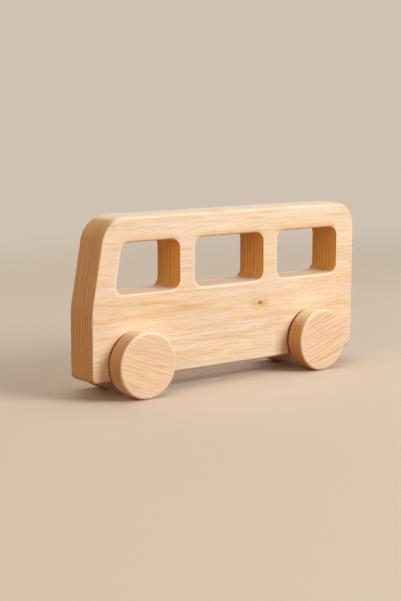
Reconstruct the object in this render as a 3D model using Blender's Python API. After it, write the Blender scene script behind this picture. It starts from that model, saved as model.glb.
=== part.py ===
"""Wooden toy bus: one routed board for the body, two dowel axles and four turned wheels.

Metres, +Z up, +X towards the nose, +Y towards the bus's left side.
The origin lies on the ground, midway along the bus and midway between its sides.
"""
import math

import bmesh
import bpy
from mathutils import Vector

# Body board, seen from the side
BOARD_THICKNESS = 0.0200
SKIRT_HEIGHT = 0.0440          # underside to window sill
WINDOW_HEIGHT = 0.0262         # sill to window head
ROOF_RAIL = 0.0133             # window head to roof
NOSE_HEIGHT = 0.0364           # underside to the bend below the windscreen
WINDSCREEN_RAKE = math.radians(10.5)
FRONT_POST = 0.0133            # wood between windscreen and front window
FRONT_WINDOW_LENGTH = 0.0401   # measured along the sill
MIDDLE_WINDOW_LENGTH = 0.0460
REAR_WINDOW_LENGTH = 0.0436
MULLION = 0.0106               # wood between two windows
REAR_POST = 0.0144             # wood between rear window and tail

# Corners of the side outline, and the rounded-over edges
FRONT_ROOF_RADIUS = 0.0150
REAR_ROOF_RADIUS = 0.0135
NOSE_FOOT_RADIUS = 0.0036
TAIL_FOOT_RADIUS = 0.0060
BEND_RADIUS = 0.0400
WINDOW_RADIUS = 0.0050
EDGE_ROUND = 0.0018
WINDOW_EDGE_ROUND = 0.0010

# Wheels and axles
WHEEL_DIAMETER = 0.0350
WHEEL_THICKNESS = 0.0107
WHEEL_EDGE_ROUND = 0.0016
AXLE_DIAMETER = 0.0080
WHEEL_FACE_WALL = 0.0037       # wood between the axle's blind hole and the wheel's outer face
AXLE_COVER = 0.0040            # wood left under each axle hole
AXLE_END_CHAMFER = 0.0006
FRONT_AXLE_SETBACK = 0.0272    # nose to front axle
REAR_AXLE_SETBACK = 0.0332     # tail to rear axle

# Clearances
WHEEL_GAP = 0.0006             # between wheel and board
AXLE_CLEARANCE = 0.0005        # round the axle in the board
GLUE_GAP = 0.0003              # round the axle in the wheel, and at its end

# Fineness of the round stretches
CORNER_STEPS = 8
EDGE_STEPS = 4
HOLE_STEPS = 32
TURN_STEPS = 48
RIM_STEPS = 3
SHARP_ANGLE = math.radians(35)
WELD = 1e-6

# Heights and lengths that follow
WHEEL_RADIUS = WHEEL_DIAMETER / 2
AXLE_RADIUS = AXLE_DIAMETER / 2
AXLE_HOLE_RADIUS = AXLE_RADIUS + AXLE_CLEARANCE
AXLE_SEAT_DEPTH = WHEEL_THICKNESS - WHEEL_FACE_WALL
UNDERSIDE = WHEEL_RADIUS - AXLE_HOLE_RADIUS - AXLE_COVER
SILL = UNDERSIDE + SKIRT_HEIGHT
WINDOW_HEAD = SILL + WINDOW_HEIGHT
ROOF = WINDOW_HEAD + ROOF_RAIL
BEND = UNDERSIDE + NOSE_HEIGHT
RAKE_SLOPE = math.tan(WINDSCREEN_RAKE)
WINDSCREEN_AT_SILL = (SILL - BEND) * RAKE_SLOPE
BODY_LENGTH = (WINDSCREEN_AT_SILL + FRONT_POST + FRONT_WINDOW_LENGTH + MULLION + MIDDLE_WINDOW_LENGTH
               + MULLION + REAR_WINDOW_LENGTH + REAR_POST)
NOSE = BODY_LENGTH / 2
TAIL = -BODY_LENGTH / 2
SIDE = BOARD_THICKNESS / 2


def quarter_turn(steps):
    """Angles from 0 to 90 degrees in even steps."""
    return [math.pi / 2 * step / steps for step in range(steps + 1)]


def filleted(corners):
    """Points and outward normals of a counter-clockwise outline with an arc at each (x, z, radius)."""
    outline = []
    for index, (x, z, radius) in enumerate(corners):
        corner = Vector((x, z))
        before = Vector(corners[index - 1][:2]) - corner
        after = Vector(corners[(index + 1) % len(corners)][:2]) - corner
        half_angle = before.angle(after) / 2
        room = min(before.length, after.length) / 2
        radius = min(radius, room * math.tan(half_angle))
        towards_centre = (before.normalized() + after.normalized()).normalized()
        centre = corner + towards_centre * radius / math.sin(half_angle)
        sweep = math.pi - 2 * half_angle
        start = math.atan2(-towards_centre.y, -towards_centre.x) - sweep / 2
        for step in range(CORNER_STEPS + 1):
            angle = start + sweep * step / CORNER_STEPS
            normal = Vector((math.cos(angle), math.sin(angle)))
            outline.append((centre + radius * normal, normal))
    return outline


def circle(x, z, radius, steps):
    """Points and outward normals of a circle."""
    outline = []
    for step in range(steps):
        angle = 2 * math.pi * step / steps
        normal = Vector((math.cos(angle), math.sin(angle)))
        outline.append((Vector((x, z)) + radius * normal, normal))
    return outline


def ring(bm, outline, into_wood, y):
    """Edges of one closed loop: the outline at depth y, moved into the wood."""
    verts = []
    for point, normal in outline:
        spot = point + into_wood * normal
        verts.append(bm.verts.new((spot.x, y, spot.y)))
    return [bm.edges.new(pair) for pair in zip(verts, verts[1:] + verts[:1])]


def wall_through_board(bm, outline, edge_round, wood_side):
    """The wall along an outline from one face of the board to the other, both rims rounded over.

    wood_side is -1 where the wood lies inside the outline and +1 where the outline is a hole.
    Returns the two end rings.
    """
    stations = [(SIDE, 0.0)]
    if edge_round:
        stations = [(SIDE - edge_round * (1 - math.cos(turn)), edge_round * (1 - math.sin(turn)))
                    for turn in quarter_turn(EDGE_STEPS)]
    stations += [(-y, into_wood) for y, into_wood in reversed(stations)]
    rings = [ring(bm, outline, wood_side * into_wood, y) for y, into_wood in stations]
    for upper, lower in zip(rings, rings[1:]):
        bmesh.ops.bridge_loops(bm, edges=upper + lower)
    return rings[0], rings[-1]


def windscreen_x(z):
    """Where the raked windscreen line stands at a height."""
    return NOSE - (z - BEND) * RAKE_SLOPE


def body_outline():
    """The side outline, from the tail's foot forward along the underside and back along the roof."""
    return filleted([
        (TAIL, UNDERSIDE, TAIL_FOOT_RADIUS),
        (NOSE, UNDERSIDE, NOSE_FOOT_RADIUS),
        (NOSE, BEND, BEND_RADIUS),
        (windscreen_x(ROOF), ROOF, FRONT_ROOF_RADIUS),
        (TAIL, ROOF, REAR_ROOF_RADIUS),
    ])


def window_outlines():
    """Three windows from the tail forward; the front one leans with the windscreen."""
    rear_start = TAIL + REAR_POST
    middle_start = rear_start + REAR_WINDOW_LENGTH + MULLION
    front_start = middle_start + MIDDLE_WINDOW_LENGTH + MULLION
    spans = [
        (rear_start, rear_start + REAR_WINDOW_LENGTH, rear_start + REAR_WINDOW_LENGTH),
        (middle_start, middle_start + MIDDLE_WINDOW_LENGTH, middle_start + MIDDLE_WINDOW_LENGTH),
        (front_start, windscreen_x(SILL) - FRONT_POST, windscreen_x(WINDOW_HEAD) - FRONT_POST),
    ]
    outlines = []
    for back, front_at_sill, front_at_head in spans:
        outlines.append(filleted([
            (back, SILL, WINDOW_RADIUS),
            (front_at_sill, SILL, WINDOW_RADIUS),
            (front_at_head, WINDOW_HEAD, WINDOW_RADIUS),
            (back, WINDOW_HEAD, WINDOW_RADIUS),
        ]))
    return outlines


def wood(name, colour, roughness):
    """Plain oiled wood of one colour."""
    material = bpy.data.materials.new(name)
    material.use_nodes = True
    shader = material.node_tree.nodes["Principled BSDF"]
    shader.inputs["Base Color"].default_value = (*colour, 1.0)
    shader.inputs["Roughness"].default_value = roughness
    shader.inputs["Metallic"].default_value = 0.0
    return material


def finished_mesh(bm, name, material):
    """Close the bmesh into a smooth-shaded mesh with its faces pointing out."""
    bmesh.ops.remove_doubles(bm, verts=bm.verts, dist=WELD)
    bmesh.ops.recalc_face_normals(bm, faces=bm.faces)
    mesh = bpy.data.meshes.new(name)
    bm.to_mesh(mesh)
    bm.free()
    mesh.shade_smooth()
    mesh.set_sharp_from_angle(angle=SHARP_ANGLE)
    mesh.materials.append(material)
    return mesh


def place(name, mesh, parent=None, location=(0, 0, 0), turn=0.0):
    """Add a named object to the scene; turn is about the vertical."""
    piece = bpy.data.objects.new(name, mesh)
    bpy.context.scene.collection.objects.link(piece)
    piece.parent = parent
    piece.location = location
    piece.rotation_euler = (0, 0, turn)
    return piece


def body_mesh(axle_places, material):
    """The board with its windows and the two axle holes."""
    bm = bmesh.new()
    walls = [wall_through_board(bm, body_outline(), EDGE_ROUND, -1)]
    for outline in window_outlines():
        walls.append(wall_through_board(bm, outline, WINDOW_EDGE_ROUND, 1))
    for axle_x in axle_places:
        hole = circle(axle_x, WHEEL_RADIUS, AXLE_HOLE_RADIUS, HOLE_STEPS)
        walls.append(wall_through_board(bm, hole, 0.0, 1))
    for rims in zip(*walls):
        bmesh.ops.triangle_fill(bm, use_beauty=True, edges=[edge for rim in rims for edge in rim])
    return finished_mesh(bm, "bus_body", material)


def turned_mesh(name, profile, material):
    """A piece turned about Y from (radius, y) points, with a flat of the facets lowest."""
    half_step = math.pi / TURN_STEPS
    bm = bmesh.new()
    verts = []
    for radius, y in profile:
        corner = radius / math.cos(half_step)
        verts.append(bm.verts.new((corner * math.sin(half_step), y, -corner * math.cos(half_step))))
    edges = [bm.edges.new(pair) for pair in zip(verts, verts[1:])]
    bmesh.ops.spin(bm, geom=verts + edges, cent=(0, 0, 0), axis=(0, 1, 0), angle=2 * math.pi,
                   steps=TURN_STEPS, use_merge=True)
    return finished_mesh(bm, name, material)


def wheel_mesh(material):
    """A disc from y = 0 outwards, rims rounded, with the axle's blind hole in its inner face."""
    core = WHEEL_RADIUS - WHEEL_EDGE_ROUND
    inner_rim = [(core + WHEEL_EDGE_ROUND * math.sin(turn), WHEEL_EDGE_ROUND * (1 - math.cos(turn)))
                 for turn in quarter_turn(RIM_STEPS)]
    outer_rim = [(radius, WHEEL_THICKNESS - y) for radius, y in reversed(inner_rim)]
    hole_radius = AXLE_RADIUS + GLUE_GAP
    profile = [(0.0, AXLE_SEAT_DEPTH), (hole_radius, AXLE_SEAT_DEPTH), (hole_radius, 0.0)]
    profile += inner_rim + outer_rim + [(0.0, WHEEL_THICKNESS)]
    return turned_mesh("wheel", profile, material)


def axle_mesh(material):
    """A dowel through the board, with chamfered ends just short of the bottoms of both blind holes."""
    end = SIDE + WHEEL_GAP + AXLE_SEAT_DEPTH - GLUE_GAP
    nose = AXLE_RADIUS - AXLE_END_CHAMFER
    shoulder = end - AXLE_END_CHAMFER
    half_profile = [(AXLE_RADIUS, shoulder), (nose, end), (0.0, end)]
    profile = [(radius, -y) for radius, y in reversed(half_profile)] + half_profile
    return turned_mesh("axle", profile, material)


def main():
    """Clear the scene and build the bus."""
    for leftover in list(bpy.data.objects):
        bpy.data.objects.remove(leftover, do_unlink=True)

    axle_places = {"front": NOSE - FRONT_AXLE_SETBACK, "rear": TAIL + REAR_AXLE_SETBACK}
    place("bus_body", body_mesh(axle_places.values(), wood("body_wood", (0.86, 0.66, 0.43), 0.52)))

    wheel = wheel_mesh(wood("wheel_wood", (0.82, 0.58, 0.37), 0.50))
    axle = axle_mesh(wood("axle_wood", (0.78, 0.58, 0.38), 0.55))
    wheel_inner_face = SIDE + WHEEL_GAP
    for end, axle_x in axle_places.items():
        wheelset = place(end + "_wheelset", None, location=(axle_x, 0, WHEEL_RADIUS))
        place(end + "_axle", axle, wheelset)
        place(end + "_left_wheel", wheel, wheelset, (0, wheel_inner_face, 0))
        place(end + "_right_wheel", wheel, wheelset, (0, -wheel_inner_face, 0), math.pi)


main()
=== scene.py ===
import math

import bmesh
import bpy
from mathutils import Euler, Matrix, Vector


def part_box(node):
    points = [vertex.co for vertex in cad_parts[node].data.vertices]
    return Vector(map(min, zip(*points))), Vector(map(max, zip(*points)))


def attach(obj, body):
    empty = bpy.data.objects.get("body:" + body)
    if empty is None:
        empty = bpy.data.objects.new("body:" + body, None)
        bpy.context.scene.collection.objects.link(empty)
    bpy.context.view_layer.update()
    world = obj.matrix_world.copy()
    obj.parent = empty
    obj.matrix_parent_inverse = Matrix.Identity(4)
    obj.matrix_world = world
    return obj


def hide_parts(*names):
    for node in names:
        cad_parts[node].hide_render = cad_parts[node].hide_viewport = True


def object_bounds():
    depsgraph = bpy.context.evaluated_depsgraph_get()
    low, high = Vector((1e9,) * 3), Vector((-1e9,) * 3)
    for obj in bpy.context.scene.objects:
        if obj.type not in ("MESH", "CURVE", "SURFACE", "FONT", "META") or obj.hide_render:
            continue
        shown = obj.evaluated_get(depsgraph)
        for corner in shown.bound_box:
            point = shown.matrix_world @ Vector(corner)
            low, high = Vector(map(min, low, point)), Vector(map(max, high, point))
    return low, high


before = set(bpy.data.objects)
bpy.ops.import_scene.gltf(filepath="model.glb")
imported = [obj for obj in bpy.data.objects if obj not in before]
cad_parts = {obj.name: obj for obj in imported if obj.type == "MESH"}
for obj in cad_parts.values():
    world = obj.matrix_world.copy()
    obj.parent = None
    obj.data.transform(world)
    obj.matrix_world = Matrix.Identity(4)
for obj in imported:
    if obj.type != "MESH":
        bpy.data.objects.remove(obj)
cad_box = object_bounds()

# A wooden toy bus: one routed softwood board that rolls on two dowels with four turned wheels.
# Metres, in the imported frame: +X towards the nose, +Y towards the bus's left side, +Z up.

# The board, as the part's source has it.
BODY_LOW, BODY_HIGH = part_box("bus_body")
NOSE = BODY_HIGH.x
TAIL = BODY_LOW.x
UNDERSIDE = BODY_LOW.z
ROOF = BODY_HIGH.z
HALF_BOARD = BODY_HIGH.y
SKIRT_HEIGHT = 0.0440
WINDOW_HEIGHT = 0.0262
NOSE_HEIGHT = 0.0364
WINDSCREEN_RAKE = math.radians(10.5)
FRONT_POST = 0.0133
FRONT_WINDOW_LENGTH = 0.0401
MIDDLE_WINDOW_LENGTH = 0.0460
REAR_WINDOW_LENGTH = 0.0436
MULLION = 0.0106
FRONT_ROOF_RADIUS = 0.0150
REAR_ROOF_RADIUS = 0.0135
NOSE_FOOT_RADIUS = 0.0036
TAIL_FOOT_RADIUS = 0.0060
BEND_RADIUS = 0.0400
WINDOW_RADIUS = 0.0050
EDGE_ROUND = 0.0018
WINDOW_EDGE_ROUND = 0.0010
AXLE_HOLE_RADIUS = 0.0045
SILL = UNDERSIDE + SKIRT_HEIGHT
WINDOW_HEAD = SILL + WINDOW_HEIGHT
BEND = UNDERSIDE + NOSE_HEIGHT

# The wheels and the dowels.
WHEEL_EDGE_ROUND = 0.0016
WHEEL_BORE_RADIUS = 0.0043
WHEEL_FACE_WALL = 0.0037
AXLE_END_CHAMFER = 0.0006

# Fineness of the curves.
CORNER_STEP = math.radians(5)
FEWEST_CORNER_STEPS = 3
RIM_STEPS = 9
WHEEL_STEPS = 160
DOWEL_STEPS = 64
CHAMFER_STEPS = 3
SHARP_EDGE = math.radians(40)
LARGE_FACE_WEIGHT = 90
WELD = 1e-7
SAME_DEPTH = 1e-6
MILLIMETRE = 0.001

# Floor, backdrop and camera.
FLOOR_RADIUS = 2.0
FLOOR_STEPS = 96
FLOOR_FADE = (0.30, 0.95)
FLOOR_ROUGHNESS = 0.9
CAMERA_PLACE = (0.4335, 0.5439, 0.14885)
CAMERA_YAW = math.radians(37.665)
CAMERA_PITCH = math.radians(8.701)
FOCAL_LENGTH = 77.64
SENSOR_WIDTH = 36.0
NEAREST_SEEN = 0.01
FARTHEST_SEEN = 50.0


def windscreen_x(z):
    """X of the raked windscreen edge at a height above the bend."""
    return NOSE - (z - BEND) * math.tan(WINDSCREEN_RAKE)


def window(rear_x, front_x, front_head_x):
    """The four (x, z, radius) corners of a window opening: sill rear, sill front, head front, head rear."""
    return (
        (rear_x, SILL, WINDOW_RADIUS),
        (front_x, SILL, WINDOW_RADIUS),
        (front_head_x, WINDOW_HEAD, WINDOW_RADIUS),
        (rear_x, WINDOW_HEAD, WINDOW_RADIUS),
    )


FRONT_WINDOW_FOOT = windscreen_x(SILL) - FRONT_POST
FRONT_WINDOW_TOP = windscreen_x(WINDOW_HEAD) - FRONT_POST
FRONT_WINDOW_REAR = FRONT_WINDOW_FOOT - FRONT_WINDOW_LENGTH
MIDDLE_WINDOW_FRONT = FRONT_WINDOW_REAR - MULLION
MIDDLE_WINDOW_REAR = MIDDLE_WINDOW_FRONT - MIDDLE_WINDOW_LENGTH
REAR_WINDOW_FRONT = MIDDLE_WINDOW_REAR - MULLION
REAR_WINDOW_REAR = REAR_WINDOW_FRONT - REAR_WINDOW_LENGTH
WINDOWS = (
    window(REAR_WINDOW_REAR, REAR_WINDOW_FRONT, REAR_WINDOW_FRONT),
    window(MIDDLE_WINDOW_REAR, MIDDLE_WINDOW_FRONT, MIDDLE_WINDOW_FRONT),
    window(FRONT_WINDOW_REAR, FRONT_WINDOW_FOOT, FRONT_WINDOW_TOP),
)
BODY_CORNERS = (
    (TAIL, UNDERSIDE, TAIL_FOOT_RADIUS),
    (NOSE, UNDERSIDE, NOSE_FOOT_RADIUS),
    (NOSE, BEND, BEND_RADIUS),
    (windscreen_x(ROOF), ROOF, FRONT_ROOF_RADIUS),
    (TAIL, ROOF, REAR_ROOF_RADIUS),
)


def node_centre(node):
    """The middle of a CAD node's box."""
    low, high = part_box(node)
    return (low + high) / 2


def placed(name, bm, finish):
    """Makes an object of a bmesh, where its mesh is, with its finish."""
    mesh = bpy.data.meshes.new(name)
    bm.to_mesh(mesh)
    bm.free()
    mesh.materials.append(finish)
    made = bpy.data.objects.new(name, mesh)
    bpy.context.scene.collection.objects.link(made)
    return made


def shown(name, bm, finish, body, node):
    """Turns a bmesh into a finished piece that stands for a CAD node."""
    bmesh.ops.remove_doubles(bm, verts=bm.verts, dist=WELD)
    bmesh.ops.recalc_face_normals(bm, faces=bm.faces)
    for face in bm.faces:
        face.smooth = True
    for edge in bm.edges:
        edge.smooth = edge.calc_face_angle() < SHARP_EDGE
    piece = placed(name, bm, finish)
    weighted = piece.modifiers.new("even_normals", "WEIGHTED_NORMAL")
    weighted.weight = LARGE_FACE_WEIGHT
    weighted.keep_sharp = True
    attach(piece, body)
    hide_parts(node)


def rounded_outline(corners):
    """A flat n-gon in the XZ plane whose (x, z, radius) corners are rounded."""
    bm = bmesh.new()
    points = [Vector((x, 0.0, z)) for x, z, _ in corners]
    verts = [bm.verts.new(point) for point in points]
    bm.faces.new(verts)
    for i, (_, _, radius) in enumerate(corners):
        before = points[i - 1] - points[i]
        after = points[(i + 1) % len(points)] - points[i]
        inside = before.angle(after)
        bmesh.ops.bevel(
            bm,
            geom=[verts[i]],
            offset=radius / math.tan(inside / 2),
            offset_type="OFFSET",
            segments=max(FEWEST_CORNER_STEPS, round((math.pi - inside) / CORNER_STEP)),
            profile=0.5,
            affect="VERTICES",
            clamp_overlap=False,
            material=-1,
        )
    return bm


def add_outline(bm, corners, y):
    """Lays a rounded outline into bm at a depth y, facing outwards, and gives its face."""
    flat = rounded_outline(corners)
    bmesh.ops.translate(flat, verts=flat.verts, vec=(0.0, y, 0.0))
    if (flat.faces[:][0].normal.y > 0) != (y > 0):
        bmesh.ops.reverse_faces(flat, faces=flat.faces)
    laid = bpy.data.meshes.new("outline")
    flat.to_mesh(laid)
    flat.free()
    bm.from_mesh(laid)
    bpy.data.meshes.remove(laid)
    return max(bm.faces, key=lambda face: len(face.verts))


def round_rim(bm, face, radius, out_of_wall):
    """Steps a flat face inwards along a quarter round.

    out_of_wall starts along the wall and ends flat; otherwise it starts flat and ends along a hole.
    """
    turns = [math.pi / 2 * step / RIM_STEPS for step in range(RIM_STEPS + 1)]
    for turn, following in zip(turns, turns[1:]):
        across = radius * (math.cos(turn) - math.cos(following))
        along = radius * (math.sin(following) - math.sin(turn))
        bmesh.ops.inset_region(
            bm,
            faces=[face],
            thickness=across if out_of_wall else along,
            depth=along if out_of_wall else -across,
            use_boundary=True,
            use_even_offset=True,
        )


def widened(corners, rim):
    """The corners of a window, moved out on every side by the round of its rim."""
    points = [Vector((x, z)) for x, z, _ in corners]
    wide = []
    for i, (_, _, radius) in enumerate(corners):
        to_before = (points[i - 1] - points[i]).normalized()
        to_after = (points[(i + 1) % len(points)] - points[i]).normalized()
        reach = rim / math.sin(to_before.angle(to_after))
        moved = points[i] - (to_before + to_after) * reach
        wide.append((moved.x, moved.y, radius + rim))
    return wide


def upright_circle(bm, centre, y, radius, steps, capped):
    """A circle round a centre in the plane of the board, at a depth y; gives its edges."""
    place = Matrix.Translation((centre.x, y, centre.z)) @ Matrix.Rotation(math.pi / 2, 4, "X")
    made = bmesh.ops.create_circle(
        bm, cap_ends=capped, cap_tris=False, radius=radius, segments=steps, matrix=place
    )
    return list(dict.fromkeys(edge for vert in made["verts"] for edge in vert.link_edges))


def flat_ends(bm):
    """The two faces of a solid that have the most corners."""
    return sorted(bm.faces, key=lambda face: len(face.verts))[-2:]


def soften_ends(bm, width, steps):
    """Rounds or chamfers the rims of a solid's two flat ends."""
    bmesh.ops.bevel(
        bm,
        geom=[edge for end in flat_ends(bm) for edge in end.edges],
        offset=width,
        offset_type="OFFSET",
        segments=steps,
        profile=0.5,
        affect="EDGES",
        clamp_overlap=False,
        material=-1,
    )


def bus_board():
    """The board: rounded outline, three windows and two axle holes cut through it."""
    straight = HALF_BOARD - EDGE_ROUND
    faces_y = (-HALF_BOARD, HALF_BOARD)
    bm = rounded_outline(BODY_CORNERS)
    bmesh.ops.translate(bm, verts=bm.verts, vec=(0.0, -straight, 0.0))
    if bm.faces[:][0].normal.y > 0:
        bmesh.ops.reverse_faces(bm, faces=bm.faces)
    bmesh.ops.solidify(bm, geom=bm.faces[:], thickness=2 * straight)
    bmesh.ops.recalc_face_normals(bm, faces=bm.faces)
    sides = flat_ends(bm)
    for side in sides:
        round_rim(bm, side, EDGE_ROUND, True)
    bmesh.ops.delete(bm, geom=sides, context="FACES_ONLY")
    for corners in WINDOWS:
        throat = []
        for y in faces_y:
            pane = add_outline(bm, widened(corners, WINDOW_EDGE_ROUND), y)
            round_rim(bm, pane, WINDOW_EDGE_ROUND, False)
            throat += pane.edges[:]
            bmesh.ops.delete(bm, geom=[pane], context="FACES_ONLY")
        bmesh.ops.bridge_loops(bm, edges=throat)
    for axle in ("front_axle", "rear_axle"):
        bore = []
        for y in faces_y:
            bore += upright_circle(
                bm, node_centre(axle), y, AXLE_HOLE_RADIUS, DOWEL_STEPS, False
            )
        bmesh.ops.bridge_loops(bm, edges=bore)
    for y in faces_y:
        rims = [
            edge
            for edge in bm.edges
            if edge.is_boundary and all(abs(vert.co.y - y) < SAME_DEPTH for vert in edge.verts)
        ]
        bmesh.ops.triangle_fill(bm, use_beauty=True, use_dissolve=False, edges=rims)
    return bm


def turned_wheel(node):
    """A thick disc with softened rims and a blind hole for its dowel in the inner face."""
    low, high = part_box(node)
    centre = node_centre(node)
    radius = (high.z - low.z) / 2
    thickness = high.y - low.y
    inner = low.y if centre.y > 0 else high.y
    bm = bmesh.new()
    upright_circle(bm, centre, inner, radius, WHEEL_STEPS, True)
    if (bm.faces[:][0].normal.y > 0) == (centre.y > 0):
        bmesh.ops.reverse_faces(bm, faces=bm.faces)
    bmesh.ops.solidify(bm, geom=bm.faces[:], thickness=thickness)
    bmesh.ops.recalc_face_normals(bm, faces=bm.faces)
    soften_ends(bm, WHEEL_EDGE_ROUND, RIM_STEPS)
    back = min(flat_ends(bm), key=lambda face: abs(face.calc_center_median().y - inner))
    around_bore = radius - WHEEL_EDGE_ROUND - WHEEL_BORE_RADIUS
    bmesh.ops.inset_region(bm, faces=[back], thickness=around_bore)
    bmesh.ops.inset_region(bm, faces=[back], thickness=0.0, depth=WHEEL_FACE_WALL - thickness)
    return bm


def axle_dowel(node):
    """A dowel with chamfered ends, lying across the bus."""
    low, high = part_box(node)
    radius = (high.z - low.z) / 2
    bm = bmesh.new()
    bmesh.ops.create_cone(
        bm,
        cap_ends=True,
        cap_tris=False,
        segments=DOWEL_STEPS,
        radius1=radius,
        radius2=radius,
        depth=high.y - low.y,
        matrix=Matrix.Translation(node_centre(node)) @ Matrix.Rotation(math.pi / 2, 4, "X"),
    )
    soften_ends(bm, AXLE_END_CHAMFER, CHAMFER_STEPS)
    return bm


class Value:
    """A socket of a finish; + - * / on it add Math nodes."""

    def __init__(self, finish, socket):
        self.finish = finish
        self.socket = socket

    def output(self, name):
        return Value(self.finish, self.socket.node.outputs[name])

    def maths(self, operation, first, second=0.0):
        return self.finish.node("ShaderNodeMath", {"operation": operation}, {0: first, 1: second})

    def __add__(self, other):
        return self.maths("ADD", self, other)

    def __radd__(self, other):
        return self.maths("ADD", other, self)

    def __sub__(self, other):
        return self.maths("SUBTRACT", self, other)

    def __rsub__(self, other):
        return self.maths("SUBTRACT", other, self)

    def __mul__(self, other):
        return self.maths("MULTIPLY", self, other)

    def __rmul__(self, other):
        return self.maths("MULTIPLY", other, self)

    def __truediv__(self, other):
        return self.maths("DIVIDE", self, other)

    def __rtruediv__(self, other):
        return self.maths("DIVIDE", other, self)

    def root(self):
        return self.maths("SQRT", self)

    def size(self):
        return self.maths("ABSOLUTE", self)

    def fraction(self):
        return self.maths("FRACT", self)

    def above(self, other):
        """The larger of the two."""
        return self.maths("MAXIMUM", self, other)

    def bell(self):
        """exp(-v): a soft hump where v is a squared distance."""
        return self.maths("EXPONENT", self * -1.0)

    def smooth(self, low, high):
        """0 below low, 1 above high and a smooth step between; low may be the larger."""
        return self.finish.node(
            "ShaderNodeMapRange",
            {"interpolation_type": "SMOOTHSTEP", "clamp": True},
            {"Value": self, "From Min": low, "From Max": high, "To Min": 0.0, "To Max": 1.0},
        )


class Finish:
    """A material or a world, and the nodes that make it."""

    def __init__(self, owner):
        owner.use_nodes = True
        self.owner = owner
        self.tree = owner.node_tree
        self.tree.nodes.clear()

    def node(self, kind, settings=None, sockets=None, output=0):
        """Adds a node: its settings first, then a value or a link for each socket."""
        made = self.tree.nodes.new(kind)
        for name, setting in (settings or {}).items():
            if name == "stops":
                self.set_stops(made.color_ramp.elements, setting)
            else:
                setattr(made, name, setting)
        for name, given in (sockets or {}).items():
            if isinstance(given, Value):
                self.tree.links.new(given.socket, made.inputs[name])
            else:
                made.inputs[name].default_value = given
        return Value(self, made.outputs[output]) if made.outputs else made

    @staticmethod
    def set_stops(elements, stops):
        while len(elements) < len(stops):
            elements.new(0.5)
        for element, (position, colour) in zip(elements, stops):
            element.position = position
            element.color = colour

    def vector(self, x, y, z):
        return self.node("ShaderNodeCombineXYZ", {}, {0: x, 1: y, 2: z})

    def noise(self, x, y, z, detail=2.0, rough=0.5):
        """Noise about 0, from about -0.5 to 0.5."""
        made = self.node(
            "ShaderNodeTexNoise",
            {"noise_dimensions": "3D"},
            {"Vector": self.vector(x, y, z), "Scale": 1.0, "Detail": detail, "Roughness": rough},
        )
        return made - 0.5

    def ramp(self, factor, stops):
        return self.node("ShaderNodeValToRGB", {"stops": stops}, {0: factor})

    def blend(self, factor, first, second):
        return self.node(
            "ShaderNodeMix", {"data_type": "RGBA"}, {0: factor, 6: first, 7: second}, output=2
        )

    def shade(self, colour, amount):
        """The colour made lighter by an amount, or darker below 0, and warmer as it darkens."""
        swing = self.node(
            "ShaderNodeVectorMath", {"operation": "SCALE"}, {0: FIBRE_SWING, "Scale": amount}
        )
        return self.node(
            "ShaderNodeVectorMath", {"operation": "MULTIPLY_ADD"}, {0: colour, 1: swing, 2: colour}
        )

    def background_rays(self):
        """1 for rays that show the background: from the camera, a mirror or glass."""
        rays = self.node("ShaderNodeLightPath", output="Is Camera Ray")
        return rays.above(rays.output("Is Glossy Ray")).above(rays.output("Is Transmission Ray"))

    def close(self, shader, output="ShaderNodeOutputMaterial"):
        self.node(output, {}, {"Surface": shader})
        return self.owner


def srgb(red, green, blue):
    """A colour written in 0 to 255 screen values, as the linear colour that nodes take."""
    linear = []
    for value in (red, green, blue):
        part = value / 255
        linear.append(part / 12.92 if part <= 0.04045 else ((part + 0.055) / 1.055) ** 2.4)
    return (*linear, 1.0)


# Colours of the wood, from early to late wood, along the fibres and across them.
LONG_GRAIN = (
    (0.0, srgb(254, 238, 213)),
    (0.28, srgb(251, 227, 194)),
    (0.52, srgb(246, 212, 169)),
    (0.78, srgb(239, 191, 132)),
    (1.0, srgb(208, 150, 90)),
)
SAWN_END = (
    (0.0, srgb(242, 201, 150)),
    (0.36, srgb(224, 175, 115)),
    (0.70, srgb(190, 137, 75)),
    (1.0, srgb(136, 85, 41)),
)
# Routed end grain in the windows, deep orange also as painted warm shade.
SHADED_ROUTED_END = (
    (0.0, srgb(246, 202, 120)),
    (0.36, srgb(227, 166, 64)),
    (0.70, srgb(196, 117, 14)),
    (1.0, srgb(146, 68, 2)),
)
TURNED_GRAIN = (
    (0.0, srgb(253, 233, 204)),
    (0.28, srgb(251, 221, 184)),
    (0.52, srgb(246, 206, 161)),
    (0.78, srgb(222, 168, 120)),
    (1.0, srgb(192, 134, 86)),
)
TURNED_END = (
    (0.0, srgb(226, 188, 145)),
    (0.36, srgb(204, 153, 97)),
    (0.70, srgb(172, 114, 58)),
    (1.0, srgb(122, 73, 34)),
)
PINK_GRAIN = srgb(246, 214, 190)
YELLOW_GRAIN = srgb(251, 225, 172)
DARK_FIBRE = srgb(184, 138, 96)
KNOT_HEART = srgb(150, 80, 8)
# Cream of the painted highlights on rounded edges, window rims and wheel rims.
CREAM_HIGHLIGHT = srgb(255, 242, 221)
# Golden brown of the painted shade on the rims of the window heads.
HEAD_RIM_SHADE = srgb(232, 180, 108)
# Light orange of the painted highlight on rounded edges of end grain.
END_EDGE_HIGHLIGHT = srgb(226, 170, 112)
# Pale colour of the painted sheen on narrow faces and the roof.
PALE_SHEEN = srgb(246, 232, 217)
# Dark brown of the painted contact shade in the crevice round each wheel.
CONTACT_SHADE_BROWN = srgb(100, 34, 0)
# How much of a fibre's shade goes to red, green and blue.
FIBRE_SWING = (0.96, 1.0, 1.55)

# The oil on the wood, and the relief of its fibres in metres.
OIL_COAT = 0.14
OIL_ROUGHNESS = 0.42
FIBRE_RELIEF = 0.00006
FIBRE_RELIEF_STRENGTH = 0.5

FLOOR_COLOUR = srgb(222, 208, 192)
FLOOR_BOUNCE = srgb(150, 88, 42)
BACKDROP = srgb(208, 194, 179)
AMBIENT = (1.0, 0.78, 0.52, 1.0)
AMBIENT_STRENGTH = 0.17


# From here on, lengths in a material are millimetres, and noises have cycles to the millimetre.


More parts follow.
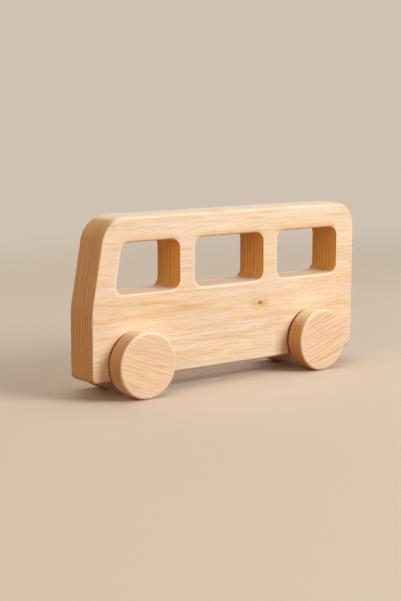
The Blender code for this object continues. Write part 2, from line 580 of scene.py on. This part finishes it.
def fibre_axes(wood, centre, turn):
    """Places along the fibres, across the board and upwards in a piece, and its normal."""
    coordinates = wood.node("ShaderNodeTexCoord", output="Object")
    local = wood.node(
        "ShaderNodeMapping",
        {"vector_type": "TEXTURE"},
        {
            "Vector": coordinates,
            "Location": centre,
            "Rotation": turn,
            "Scale": (MILLIMETRE, MILLIMETRE, MILLIMETRE),
        },
    )
    parts = wood.node("ShaderNodeSeparateXYZ", {}, {0: local})
    return parts.output("X"), parts.output("Y"), parts.output("Z"), coordinates.output("Normal")


def near_side(y):
    """A mask of the board's left half, which fades through its middle."""
    return (y / 10.0).smooth(-0.6, 0.9)


def knot_swirl(wood, x, y, z, seed, knots):
    """Heights in the wood, bent so that the fibres flow round the knots, and the knots' hearts."""
    bent = z
    heart = 0.0
    for knot_x, knot_z, knot_radius in knots:
        along = (x - knot_x) / (knot_radius * 9.0)
        across = (bent - knot_z) / (knot_radius * 4.5)
        hump = (along * along + across * across).bell()
        ragged = wood.noise(x * 0.8, y * 0.8 + seed, bent * 1.2)
        off_x = (x - knot_x) / 1.3 + ragged * 0.9
        off_z = (bent - knot_z) / 1.2 + ragged * 0.9
        spot = (off_x * off_x + off_z * off_z).root()
        heart = heart + spot.smooth(knot_radius * 1.7, knot_radius * 0.2) * near_side(y)
        bent = bent - (bent - knot_z) * hump * 0.72
    return bent, heart


def flame_warmth(x, y, z, waver, flames):
    """Warm outlines of tongues of grain, which open from their tips towards the nose."""
    warmth = 0.0
    for tip_x, tip_z, tilt, half_height, length, low_strength, high_strength in flames:
        ahead = x - tip_x
        offset = z - tip_z - ahead * tilt + waver * 0.5
        opened = ahead.smooth(-2.0, length) * (half_height * half_height)
        outside = (offset * offset - opened) / (2.0 * half_height)
        lit = outside.smooth(-1.8, 0.3) * outside.smooth(2.4, 0.1) * ahead.smooth(-20.0, -2.0)
        strength = low_strength + offset.smooth(-1.0, 1.0) * (high_strength - low_strength)
        warmth = warmth + lit * near_side(y) * strength
    return warmth


def stain_warmth(x, y, z, stains):
    """Soft spots of warmer wood, or paler where their strength is below 0."""
    warmth = 0.0
    for stain_x, stain_y, stain_z, long, deep, tall, tilt, strength in stains:
        off_x = (x - stain_x) / long
        off_y = (y - stain_y) / deep
        off_z = (z - stain_z - (x - stain_x) * tilt) / tall
        warmth = warmth + (off_x * off_x + off_y * off_y + off_z * off_z).bell() * strength
    return warmth


def end_figure(wood, x, y, z, waver, ring, seed):
    """Late wood and hairlines where the fibres are cut across: upright lines, year by year."""
    wander = wood.noise(x * 0.05 + seed, y * 0.25, z * 0.20)
    layer = y + waver * 0.6 + wander * 1.4
    year = layer / (ring * 1.13) + wood.noise(y * 0.30, seed, 8.1, 1.0)
    phase = year.fraction()
    deep_year = 0.60 + wood.noise(y * 0.45, seed, z * 0.015, 1.0) * 0.8
    late = phase.smooth(0.56, 0.82) * phase.smooth(1.0, 0.86) * deep_year
    hair = wood.noise(x * 0.03 + seed, layer * 1.5, z * 0.03, 2.0, 0.65)
    return late, hair


def routed_and_shaded_jambs(x, z, facing, zone):
    """A mask of the routed end grain in the windows, with painted warm shade, strongest on the jambs that
    face the nose.
    """
    reach, low, high = zone
    inside = x.size().smooth(reach + 1.5, reach) * z.smooth(low - 2.0, low)
    return inside * z.smooth(high + 2.0, high) * (0.25 + facing.smooth(-0.3, 0.3) * 0.75)


def window_highlight_and_shade(x, z, rim):
    """Two masks on the side: a painted highlight on the front and foot rims of each window, and painted
    shade on the rim of its head.
    """
    window_highlight = 0.0
    head_shade = 0.0
    for (rear_x, sill, radius), (front_x, _, _), (head_x, head, _), _ in WINDOWS:
        lean = (front_x - head_x) / (head - sill)
        ahead = x + (z - sill / MILLIMETRE) * lean - front_x / MILLIMETRE
        behind = rear_x / MILLIMETRE - x
        low = sill / MILLIMETRE - z
        high = z - head / MILLIMETRE
        corner = radius / MILLIMETRE
        along = (ahead.above(behind) + corner).above(0.0)
        upright = (low.above(high) + corner).above(0.0)
        outside = (along * along + upright * upright).root() - corner
        front_side = ahead.smooth(-6.0, -1.0) * high.smooth(1.0, -3.0)
        foot_side = low.smooth(-4.0, 0.0) * behind.smooth(0.0, -5.0)
        window_highlight = window_highlight + outside.smooth(rim + 0.9, rim + 0.1) * front_side.above(foot_side * 0.6)
        head_shade = head_shade + outside.smooth(rim + 2.8, rim - 0.2) * high.smooth(-1.5, 0.5)
    return window_highlight, head_shade


def contact_shade_rings(x, y, z, contact_shades):
    """A mask of painted contact shade on the board's faces round each wheel, which fades at its top."""
    contact_shade = 0.0
    for axle_x, axle_z, wheel_radius in contact_shades:
        off_x = x - axle_x
        off_z = z - axle_z
        from_axle = (off_x * off_x + off_z * off_z).root()
        disc = from_axle.smooth(wheel_radius + 0.3, wheel_radius - 0.9) * y.size().smooth(9.0, 9.9)
        contact_shade = contact_shade + disc * off_z.smooth(wheel_radius * 0.98, wheel_radius * 0.72)
    return contact_shade


def softwood(
    name,
    centre,
    turn,
    pith,
    ring,
    seed,
    end_palette,
    long_palette=LONG_GRAIN,
    end_range=(0.30, 0.56),
    late_from=0.30,
    taper=0.0,
    ring_depth=1.0,
    broad_depth=1.0,
    end_depth=1.0,
    end_tone=0.24,
    strand_depth=0.52,
    edge_light=0.0,
    edge_shade=0.0,
    roof_sheen_heights=None,
    paler_above=None,
    combed_below=None,
    routed_zone=None,
    window_rim=0.0,
    rim_highlight_radius=0.0,
    contact_shades=(),
    flames=(),
    knots=(),
    stains=(),
):
    """Planed and oiled softwood, solid through the piece.

    The fibres run along the local x axis, which turn, an Euler angle, lays in the piece. pith is
    the (y, z) of the tree's heart, ring the width of a year, taper the cone of the years, late_from
    where late wood starts in a year, and end_range how far a face turns before it is end grain.
    """
    wood = Finish(bpy.data.materials.new(name))
    x, y, z, normal = fibre_axes(wood, centre, turn)
    bent, heart = knot_swirl(wood, x, y, z, seed, knots)

    # Years round the pith, each of which darkens into its late wood.
    drift = wood.noise(x * 0.011 + seed, y * 0.02, bent * 0.02, 1.0)
    far_y = y - pith[0]
    far_z = bent - pith[1] + drift * 3.0
    reach = (far_y * far_y + far_z * far_z).root()
    waver = wood.noise(x * 0.03, y * 0.12 + seed, bent * 0.12)
    grown = reach + x * taper + waver * 0.5
    year = grown / ring + wood.noise(reach * 0.16, seed, x * 0.006, 1.0) * 2.0
    phase = year.fraction()
    faint = wood.noise(x * 0.015, y * 0.10, bent * 0.22 + seed)
    late = phase.smooth(late_from, 0.90) * phase.smooth(1.0, 0.92) * (0.8 + faint * 2.4)
    end_late, hair = end_figure(wood, x, y, bent, waver, ring, seed)

    # Bands, streaks, fibres and pores.
    broad = wood.noise(x * 0.012, y * 0.10 + seed, bent * 0.10)
    patch = wood.noise(x * 0.018 + seed, y * 0.14, bent * 0.14)
    band = wood.noise(x * 0.022 + seed, y * 0.34, bent * 0.34, 2.0, 0.6)
    streak = wood.noise(x * 0.060, y * 1.4 + seed, bent * 1.4, 3.0, 0.7)
    fine = wood.noise(x * 0.055, y * 2.4, bent * 2.4 + seed, 3.0, 0.7)
    dash = wood.noise(x * 0.110 + seed, y * 2.4, z * 2.4, 2.0, 0.6).smooth(0.02, 0.24)
    calm = wood.noise(x * 0.020, y * 0.12, bent * 0.16 + seed)
    strand = wood.noise(x * 0.045, y * 2.1 + seed, bent * 2.1, 2.0, 0.65) * (1.0 + calm * 2.4)
    pore = wood.noise(x * 2.2, y * 5.0, bent * 5.0 + seed, 1.0)
    if combed_below:
        low, high, extra = combed_below
        strand = strand * (1.0 + z.smooth(high, low) * extra)

    # Warmer and paler places.
    warmth = flame_warmth(x, y, bent, waver, flames) + stain_warmth(x, y, z, stains)
    if paler_above:
        low, high, lightening = paler_above
        warmth = warmth - z.smooth(low, high) * lightening
    # Heights of the roof, which gets the most painted sheen.
    roof_sheen = z.smooth(*roof_sheen_heights) if roof_sheen_heights else 0.0

    # Which way a face looks: along the fibres, to the side, or round an edge between the two.
    fibre = Euler(turn).to_matrix() @ Vector((1.0, 0.0, 0.0))
    facing = wood.node(
        "ShaderNodeVectorMath", {"operation": "DOT_PRODUCT"}, {0: normal, 1: fibre}, output="Value"
    )
    end = facing.size().smooth(*end_range)
    sideways = wood.node("ShaderNodeSeparateXYZ", {}, {0: normal}).output("Y").size()
    edge = sideways.smooth(0.10, 0.45) * sideways.smooth(0.985, 0.80)
    narrow_sheen = sideways.smooth(0.60, 0.20) * (1.0 - end)

    amber = (
        0.18
        + late * (0.22 * ring_depth)
        + broad * (0.60 * broad_depth)
        + band * broad_depth
        + streak * 0.70
        + fine * 0.45
        + warmth
    )
    yellowed = patch.smooth(0.02, -0.20) * (1.0 - roof_sheen * 0.8)
    long_grain = wood.ramp(amber, long_palette)
    long_grain = wood.blend(patch.smooth(0.0, 0.25) * 0.40, long_grain, PINK_GRAIN)
    long_grain = wood.blend(yellowed * 0.42, long_grain, YELLOW_GRAIN)
    long_grain = wood.blend(dash * 0.36, long_grain, DARK_FIBRE)
    # A painted highlight on the rounded edges, as strong as edge_light.
    long_grain = wood.blend(edge * edge_light, long_grain, CREAM_HIGHLIGHT)

    cut = end_tone + (end_late * 0.80 + hair * 0.55) * end_depth + pore * 0.45
    end_grain = wood.ramp(cut, end_palette)
    # The windows' routed end grain, with painted warm shade that is strongest on the jambs that face the
    # nose.
    if routed_zone:
        routed_and_shaded = routed_and_shaded_jambs(x, z, facing, routed_zone)
        end_grain = wood.blend(routed_and_shaded, end_grain, wood.ramp(cut, SHADED_ROUTED_END))
    # A painted highlight on the rounded edges of end grain.
    end_grain = wood.blend(edge * 0.12, end_grain, END_EDGE_HIGHLIGHT)

    colour = wood.blend(end, long_grain, end_grain)
    # Narrow long-grain faces painted a little paler, and the roof much paler: painted sheen of the light
    # from above.
    colour = wood.blend(narrow_sheen * (0.22 + roof_sheen * 0.40), colour, PALE_SHEEN)
    end_shade = (hair * 0.06 + end_late * 0.03) * end * end_depth
    fibre_shade = strand * strand_depth * (1.0 - end * 0.6)
    # Grain shading, and painted shade on rounded edges that tones down their highlight.
    colour = wood.shade(colour, fibre_shade - end_shade - edge * edge_shade)

    # Painted highlights and shade round the windows and wheels, and the knots' hearts.
    if window_rim:
        window_highlight, head_shade = window_highlight_and_shade(x, z, window_rim)
        outer = sideways.smooth(0.35, 0.60)
        # Painted shade on the rims of the window heads, and a painted highlight on their front and foot
        # rims.
        colour = wood.blend(head_shade * outer * 0.50, colour, HEAD_RIM_SHADE)
        colour = wood.blend(window_highlight * outer * 0.95, colour, CREAM_HIGHLIGHT)
    # A painted highlight on the ring of a wheel's face next to its rim.
    if rim_highlight_radius:
        from_hub = (x * x + z * z).root()
        rim_highlight = from_hub.smooth(rim_highlight_radius - 2.8, rim_highlight_radius - 1.2) * sideways.smooth(0.40, 0.80)
        colour = wood.blend(rim_highlight * 0.30, colour, CREAM_HIGHLIGHT)
    # Painted contact shade in the crevice round each wheel; the same mask makes the wood there matt.
    contact_shade = contact_shade_rings(x, y, z, contact_shades)
    if contact_shades:
        colour = wood.blend(contact_shade * 0.90, colour, CONTACT_SHADE_BROWN)
    if knots:
        colour = wood.blend(heart * 0.85, colour, KNOT_HEART)

    rough = 0.48 + end * 0.10 - late * 0.05 + fine * 0.16 + pore * 0.06 - edge * 0.06
    height = fine * 0.5 + late * 0.35 - dash * 0.5 + pore * end * 0.9
    bump = wood.node(
        "ShaderNodeBump",
        {},
        {"Height": height, "Strength": FIBRE_RELIEF_STRENGTH, "Distance": FIBRE_RELIEF},
    )
    shader = wood.node(
        "ShaderNodeBsdfPrincipled",
        {},
        {
            "Base Color": colour,
            "Roughness": rough + contact_shade * 0.5,
            "Normal": bump,
            "Coat Weight": OIL_COAT - contact_shade * OIL_COAT,
            "Coat Roughness": OIL_ROUGHNESS,
        },
    )
    return wood.close(shader)


# Marks on the board.
# A flame: x and z of its tip, tilt, half height, length, strength of its lower and upper outline.
BOARD_FLAMES = ((25.4, 41.2, 0.055, 4.2, 22.0, 0.24, 0.40),)
# A knot: x and z of its heart, and its radius.
BOARD_KNOTS = ((-19.7, 40.6, 1.0),)
# A stain: x, y and z of its middle, its reach along, across and upwards, tilt and strength.
BOARD_STAINS = (
    (3.1, 10.0, 39.2, 3.0, 4.0, 0.8, 0.0, 0.36),
    (76.6, 10.0, 88.0, 2.2, 4.0, 1.3, 0.0, 0.55),
    (68.0, 10.0, 88.0, 8.0, 4.0, 0.9, 0.0, 0.35),
    (74.8, 10.0, 78.4, 8.0, 4.0, 0.7, 0.21, 0.32),
    (56.0, 10.0, 86.0, 28.0, 8.0, 9.0, 0.0, 0.08),
    (82.0, 10.0, 28.0, 25.0, 8.0, 14.0, 0.0, -0.10),
    (0.0, 10.0, 22.0, 46.0, 8.0, 18.0, 0.0, -0.15),
    (-20.0, 10.0, 40.6, 7.0, 4.0, 2.6, 0.0, 0.20),
    (-15.2, 10.0, 42.3, 2.6, 4.0, 0.7, -0.25, 0.50),
    (-15.6, 10.0, 40.0, 2.4, 4.0, 0.7, 0.10, 0.50),
    (-16.2, 10.0, 38.2, 3.0, 4.0, 0.6, 0.18, 0.42),
    (-21.6, 10.0, 40.5, 4.0, 4.0, 2.8, 0.0, 0.36),
    (-24.3, 10.0, 41.9, 1.7, 4.0, 0.8, 0.0, 0.28),
    (-22.6, 10.0, 38.8, 1.7, 4.0, 0.8, 0.0, 0.28),
    (-41.0, 10.0, 43.6, 13.0, 4.0, 0.6, 0.0, 0.25),
    (-66.0, 10.0, 41.0, 18.0, 4.0, 0.8, 0.0, 0.30),
    (-76.0, 10.0, 35.7, 9.0, 4.0, 0.7, 0.0, 0.30),
    (4.0, 10.0, 40.0, 10.0, 4.0, 1.3, 0.0, 0.18),
    (10.0, 9.0, 92.2, 6.0, 0.9, 1.0, 0.0, 0.40),
    (-24.0, 10.0, 90.6, 6.0, 1.2, 0.8, 0.0, 0.45),
)
# The discs of painted contact shade round the wheels: x and z of the axle, and the wheel's radius.
BOARD_CONTACT_SHADES = tuple(
    (hub.x / MILLIMETRE, hub.z / MILLIMETRE, hub.z / MILLIMETRE)
    for hub in (node_centre("front_axle"), node_centre("rear_axle"))
)

board_finish = softwood(
    "oiled_board",
    centre=(0.0, 0.0, 0.0),
    turn=(0.0, 0.0, 0.0),
    pith=(-25.0, 41.5),
    ring=2.3,
    seed=4.2,
    end_palette=SAWN_END,
    late_from=0.45,
    taper=-0.004,
    end_depth=0.80,
    end_tone=0.255,
    edge_shade=0.13,
    roof_sheen_heights=(80.0, 88.0),
    paler_above=(40.0, 92.0, 0.13),
    combed_below=(30.0, 38.0, 0.72),
    routed_zone=(78.0, 53.0, 79.2),
    window_rim=WINDOW_EDGE_ROUND / MILLIMETRE,
    contact_shades=BOARD_CONTACT_SHADES,
    flames=BOARD_FLAMES,
    knots=BOARD_KNOTS,
    stains=BOARD_STAINS,
)
shown("routed_board", bus_board(), board_finish, "body", "bus_body")

# A wheel: its corner and wheelset, turn of its fibres, depth of its years, tone and range of its
# end grain, and seed.
# Each wheel's range of end grain is also set to paint shade on its tread, darker where the tread turns from
# the light.
WHEELS = (
    ("front_left", "front_wheelset", math.radians(-20), 0.7, 0.24, (0.42, 0.94), 11.3),
    ("front_right", "front_wheelset", math.radians(35), 1.0, 0.24, (0.42, 0.94), 23.9),
    ("rear_left", "rear_wheelset", math.radians(17.5), 2.4, 0.36, (0.15, 0.75), 37.1),
    ("rear_right", "rear_wheelset", math.radians(-50), 1.0, 0.34, (0.15, 0.75), 51.7),
)
for corner, wheelset, fibre_turn, ring_depth, end_tone, end_range, seed in WHEELS:
    node = corner + "_wheel"
    wheel_finish = softwood(
        corner + "_wheel_wood",
        centre=node_centre(node),
        turn=(0.0, fibre_turn, 0.0),
        pith=(-45.0, -95.0),
        ring=2.15,
        seed=seed,
        end_palette=TURNED_END,
        long_palette=TURNED_GRAIN,
        end_range=end_range,
        late_from=0.62,
        taper=0.01,
        ring_depth=ring_depth,
        broad_depth=0.4,
        end_depth=0.36,
        end_tone=end_tone,
        strand_depth=0.95,
        edge_light=0.15,
        rim_highlight_radius=node_centre(node).z / MILLIMETRE,
    )
    shown(corner + "_turned_wheel", turned_wheel(node), wheel_finish, wheelset, node)

for end_name in ("front", "rear"):
    node = end_name + "_axle"
    dowel_finish = softwood(
        end_name + "_dowel_wood",
        centre=node_centre(node),
        turn=(0.0, 0.0, math.pi / 2),
        pith=(-30.0, 10.0),
        ring=2.0,
        seed=60.0,
        end_palette=SAWN_END,
    )
    shown(
        end_name + "_dowel", axle_dowel(node), dowel_finish, end_name + "_wheelset", node
    )


def floor_finish():
    """A pale matt floor that fades into the backdrop; the light that it throws back is warmer."""
    floor = Finish(bpy.data.materials.new("pale_floor"))
    coordinates = floor.node("ShaderNodeTexCoord", output="Object")
    away = floor.node(
        "ShaderNodeVectorMath", {"operation": "LENGTH"}, {0: coordinates}, output="Value"
    )
    colour = floor.blend(floor.background_rays(), FLOOR_BOUNCE, FLOOR_COLOUR)
    matt = floor.node(
        "ShaderNodeBsdfPrincipled", {}, {"Base Color": colour, "Roughness": FLOOR_ROUGHNESS}
    )
    clear = floor.node("ShaderNodeBsdfTransparent")
    shader = floor.node(
        "ShaderNodeMixShader", {}, {0: away.smooth(*FLOOR_FADE), 1: matt, 2: clear}
    )
    return floor.close(shader)


def studio_world():
    """A plain backdrop, and a weak warm light from all around."""
    studio = Finish(bpy.data.worlds.new("studio"))
    backdrop = studio.node("ShaderNodeBackground", {}, {"Color": BACKDROP})
    ambient = studio.node(
        "ShaderNodeBackground", {}, {"Color": AMBIENT, "Strength": AMBIENT_STRENGTH}
    )
    shader = studio.node(
        "ShaderNodeMixShader", {}, {0: studio.background_rays(), 1: ambient, 2: backdrop}
    )
    return studio.close(shader, "ShaderNodeOutputWorld")


def softbox(name, come_from, distance, size, power, colour):
    """A round area lamp that faces the middle of the bus."""
    bus_middle = (cad_box[0] + cad_box[1]) / 2
    lamp = bpy.data.lights.new(name, "AREA")
    lamp.shape = "DISK"
    lamp.size = size
    lamp.energy = power
    lamp.color = colour
    holder = bpy.data.objects.new(name, lamp)
    bpy.context.scene.collection.objects.link(holder)
    holder.location = bus_middle + Vector(come_from).normalized() * distance
    holder.rotation_mode = "QUATERNION"
    holder.rotation_quaternion = (bus_middle - holder.location).to_track_quat("-Z", "Y")


floor_disc = bmesh.new()
bmesh.ops.create_circle(floor_disc, cap_ends=True, radius=FLOOR_RADIUS, segments=FLOOR_STEPS)
placed("floor", floor_disc, floor_finish())
bpy.context.scene.world = studio_world()

# A lamp: its name, where it comes from, distance, diameter, power in watts and colour.
SOFTBOXES = (
    ("key_softbox", (-0.58, 0.92, 0.56), 1.3, 0.8, 14.15, (1.0, 0.99, 0.965)),
    ("fill_softbox", (0.92, 0.36, 0.40), 1.1, 0.6, 2.78, (1.0, 0.77, 0.53)),
    ("back_softbox", (-0.12, -0.98, 0.08), 1.2, 0.8, 4.2, (1.0, 0.96, 0.90)),
    ("top_softbox", (-0.10, -0.08, 0.99), 1.0, 0.8, 3.1, (0.95, 0.97, 1.0)),
)
for lamp_row in SOFTBOXES:
    softbox(*lamp_row)

lens = bpy.data.cameras.new("camera")
lens.lens = FOCAL_LENGTH
lens.sensor_width = SENSOR_WIDTH
lens.clip_start = NEAREST_SEEN
lens.clip_end = FARTHEST_SEEN
camera = bpy.data.objects.new("camera", lens)
bpy.context.scene.collection.objects.link(camera)
camera.location = CAMERA_PLACE
forward = Vector(
    (
        -math.sin(CAMERA_YAW) * math.cos(CAMERA_PITCH),
        -math.cos(CAMERA_YAW) * math.cos(CAMERA_PITCH),
        -math.sin(CAMERA_PITCH),
    )
)
camera.rotation_mode = "QUATERNION"
camera.rotation_quaternion = forward.to_track_quat("-Z", "Y")
bpy.context.scene.camera = camera
bpy.context.scene.view_settings.view_transform = "Standard"
